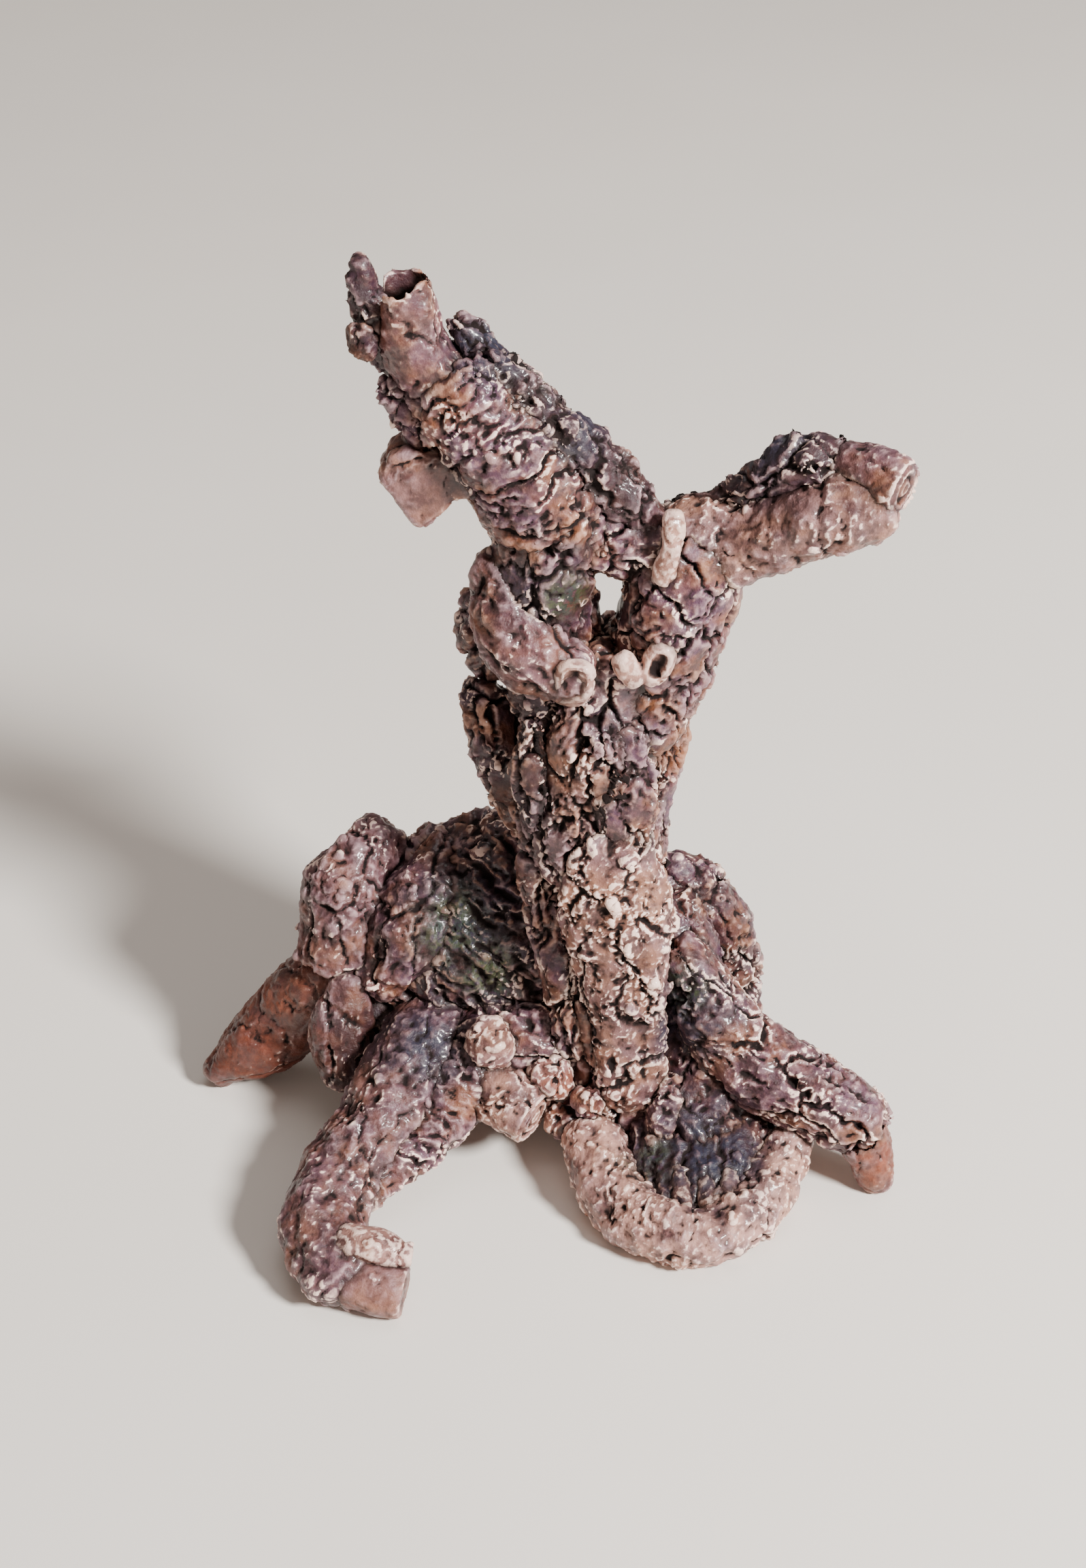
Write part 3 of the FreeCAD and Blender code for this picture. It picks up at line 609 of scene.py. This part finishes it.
# ---- The roots -------------------------------------------------------------------------
# Coils as thick as a finger, pressed onto the trunk's foot, bent down and flattened where
# they met the table. Some tips are pinched to a smooth wedge.
clay_piece("left_root", grain=(-0.9, 0, -0.5), plate=9, step=0.2, crack=0.25, nick=0.06,
           crumple=0.08, fold=0.1, lump=0.9, scrap=1, smooth=0.9, dark_paint_and_shade=0.4, seed=38)
clay_piece("left_root_flap", grain=(0, -0.3, -1), plate=7, step=0.25, crack=0.3, fold=0.2, scrap=1,
           smooth=0.3, dark_paint_and_shade=0.3, cool=0.6, seed=39)
clay_piece("front_left_root", grain=(-0.4, -0.9, -0.3), plate=10, stretch=2, crack=0.2, nick=0.12,
           crumple=0.16, fold=0.14, lump=1.7, scrap=3, pale_and_glint=0.12, cool=1, seed=40)
clay_piece("front_left_tip", grain=(1, -0.1, 0), plate=9, step=0.2, crack=0.2, nick=0.15,
           crumple=0.08, lump=0.4, scrap=1, smooth=0.5, painted_light=0.2, seed=41)
clay_piece("tip_flap", plate=9, step=0.2, crack=0.2, nick=0.04, crumple=0.05, lump=0.9, scrap=2, smooth=0.6,
           painted_light=0.4, pale_and_glint=1.2, cool=0.3, seed=42)
clay_piece("front_spur", plate=2.6, crack=0.4, lump=0.9, scrap=8, cool=0.6, seed=43)
clay_piece("middle_root", grain=(0.75, -0.6, -0.2), plate=7, stretch=2, crack=0.4, nick=0.25,
           crumple=0.16, lump=1.4, scrap=2, rings=0.2, ring_axis=(0.77, -0.62, -0.2),
           ring_centre=(-0.5, -8.4, 8.5), smooth=0.2, painted_light=0.6, pale_and_glint=0.4, seed=44)
clay_piece("root_knots", plate=3.5, step=0.5, crack=0.3, nick=0.1, crumple=0.14, fold=0.2, lump=1.5,
           scrap=3, scrap_size=0.8, smooth=0.3, painted_light=0.3, pale_and_glint=0.5, seed=45)
clay_piece("toe_loop", grain=(0.3, 1, 0), plate=9, step=0.25, crack=0.25, nick=0.08, crumple=0.2, fold=0.25,
           lump=1.7, scrap=4, smooth=0.2, painted_light=0.8, pale_and_glint=0.35, seed=46)
clay_piece("right_root", grain=(0.85, -0.4, -0.35), plate=6, stretch=2, crack=0.6, lump=1.5, scrap=5,
           pale_and_glint=0.15, cool=0.5, seed=47)
clay_piece("right_root_tip", plate=7, step=0.2, crack=0.2, nick=0.06, scrap=1, smooth=0.7,
           seed=48)
clay_piece("back_right_root", grain=(0.3, 0.1, -1), plate=5, stretch=2.4, crumple=0.14, lump=1.5, scrap=5,
           dark_paint_and_shade=0.5, seed=49)
clay_piece("back_left_root", grain=(-0.5, 0.7, -0.5), plate=6, stretch=2, scrap=4, seed=50)


# ---- The paint -------------------------------------------------------------------------
# Painted last, over the whole tree: a dark wash with painted shade settled into the seams between pieces, a
# blue-grey one on the webs and upper sides, painted shade in the twig's hollow, deep in the fork, on the
# trunk's left side and behind, and a few dabs of moss green and amber. Each dab is its middle and its reach,
# in millimetres.
SEAM_REACH = 0.7      # millimetres from another piece within which the wash and painted shade settle
FULL_MIDDLE = 1.6     # how strongly a dab starts, so that it is full well before its middle
MOSS = (((-11, 6, 27), 7), ((-6, 2, 23), 6), ((4, 1, 77), 4.5), ((-1, 8, 98), 5), ((17, -2, 24), 4.5),
        ((13, -14, 8), 4.5), ((-5, 12, 31), 5))
PAINTED_SHADE_SPOTS = (((-12, 6, 111), 3.5), ((-2, 3, 47), 10), ((-2, 4, 62), 9), ((-1, 7, 76), 8), ((9, 5, 74), 6),
        ((-6, 7, 92), 7), ((-9, 4, 36), 8), ((-22, 2, 12), 9), ((27, 8, 92), 9))
AMBER = (((1.5, -5.5, 12.4), 4), ((-34, 8, 7), 15), ((-27, 7.5, 19), 6), ((41, -12, 5), 5),
         ((-30, -10, 2), 5))
WASH = (((3, 7, 94), 7), ((-5, 7, 103), 6), ((-8, 8, 25), 13), ((-14, -3, 14), 8), ((20, -14, 6), 11),
        ((17, -3, 20), 9), ((26, 10, 91), 8), ((-4, 9, 97), 8), ((8, 3, 62), 6), ((0, 5, 78), 5))


def dabs(points, spots):
    """How much of a dabbed paint each point has, from 0 to 1."""
    amount = np.zeros(len(points), np.float32)
    for centre, reach in spots:
        away = np.linalg.norm(points - np.array(centre), axis=1)
        amount = np.maximum(amount, np.clip(FULL_MIDDLE * (1 - away / reach), 0, 1))
    return amount


def points_of(piece):
    """A piece's points, one row each, in millimetres."""
    flat = np.zeros(len(piece.data.vertices) * 3, np.float32)
    piece.data.vertices.foreach_get("co", flat)
    return flat.reshape(-1, 3) * PER_METRE


def skin_tree(piece):
    """A piece's skin, ready to be asked how near it is."""
    mesh = piece.data
    mesh.calc_loop_triangles()
    corners = np.zeros(len(mesh.loop_triangles) * 3, np.int32)
    mesh.loop_triangles.foreach_get("vertices", corners)
    return BVHTree.FromPolygons(points_of(piece).tolist(), corners.reshape(-1, 3).tolist())


skins = [(piece, points_of(piece)) for piece in painted]
bounds = [(points.min(0) - SEAM_REACH, points.max(0) + SEAM_REACH) for _, points in skins]
trees = [skin_tree(piece) for piece in painted]
for i, (piece, points) in enumerate(skins):
    seam_wash_and_shade = np.zeros(len(points), np.float32)
    for j, tree in enumerate(trees):
        if i == j:
            continue
        low, high = bounds[j]
        close = np.nonzero(((points > low) & (points < high)).all(1))[0]
        for k in close:
            hit = tree.find_nearest(points[k].tolist(), SEAM_REACH)
            if hit[3] is not None:
                seam_wash_and_shade[k] = max(seam_wash_and_shade[k], 1 - hit[3] / SEAM_REACH)
    # The painted shade spots are added to each piece's own painted shade and darker paint.
    given_dark_paint_and_shade = np.zeros(len(points), np.float32)
    piece.data.attributes["dark_paint_and_shade"].data.foreach_get("value", given_dark_paint_and_shade)
    for name, amount in (("seam_wash_and_shade", seam_wash_and_shade), ("moss", dabs(points, MOSS)), ("wash", dabs(points, WASH)),
                         ("amber", dabs(points, AMBER)),
                         ("dark_paint_and_shade", np.maximum(given_dark_paint_and_shade, dabs(points, PAINTED_SHADE_SPOTS)))):
        stored = piece.data.attributes.get(name) or piece.data.attributes.new(name, "FLOAT", "POINT")
        stored.data.foreach_set("value", amount)


# ---- The table -------------------------------------------------------------------------
# A plain pale sheet that the tree stands on, three metres square so that its edges stay
# far away.
def table_finish():
    material, tree, shader, place = new_material("pale_table", 0.7)
    mottle = noise(place, 60, 3)
    plug(tree, shader, Base_Color=mix(mottle, paint(226, 220, 212), paint(234, 229, 222)),
         Normal=bump(noise(place, 0.8, 2), 0.02, 0.3))
    return material


HALF_TABLE = 1.5
table_mesh = bpy.data.meshes.new("table")
corners = [(-HALF_TABLE, -HALF_TABLE, 0), (HALF_TABLE, -HALF_TABLE, 0), (HALF_TABLE, HALF_TABLE, 0),
           (-HALF_TABLE, HALF_TABLE, 0)]
table_mesh.from_pydata(corners, [], [(0, 1, 2, 3)])
table_mesh.materials.append(table_finish())
table = bpy.data.objects.new("table", table_mesh)
scene.collection.objects.link(table)
